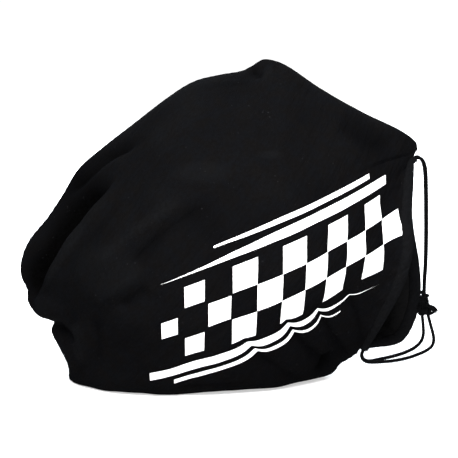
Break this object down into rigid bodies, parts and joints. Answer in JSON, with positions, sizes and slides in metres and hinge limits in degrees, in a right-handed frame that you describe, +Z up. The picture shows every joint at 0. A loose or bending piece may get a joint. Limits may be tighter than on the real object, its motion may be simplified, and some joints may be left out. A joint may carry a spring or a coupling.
{
  "type": "motorcycle helmet bag",
  "caption": "Black cloth drawstring sack for a motorcycle helmet, standing filled on its base, mouth and knotted cord at one side.",
  "frame": {"origin": "middle of the base of the filled sack, on the floor it stands on, cords left out", "axes": "+X from the closed end towards the mouth, +Y from the printed front to the back, +Z up"},
  "size_m": [0.4212, 0.265, 0.3219],
  "materials": {
    "panel_cloth": "matt brushed knit",
    "hem_cloth": "matt brushed knit, stitched",
    "cord": "matt braid"
  },
  "bodies": {
    "root": {"front_panel": "panel_cloth", "back_panel": "panel_cloth", "front_hem": "hem_cloth", "back_hem": "hem_cloth", "front_drawcord": "cord", "back_drawcord": "cord", "upper_front_strand": "cord", "upper_back_strand": "cord", "lower_front_strand": "cord", "lower_back_strand": "cord", "cord_knot": "cord"}
  },
  "joints": []
}
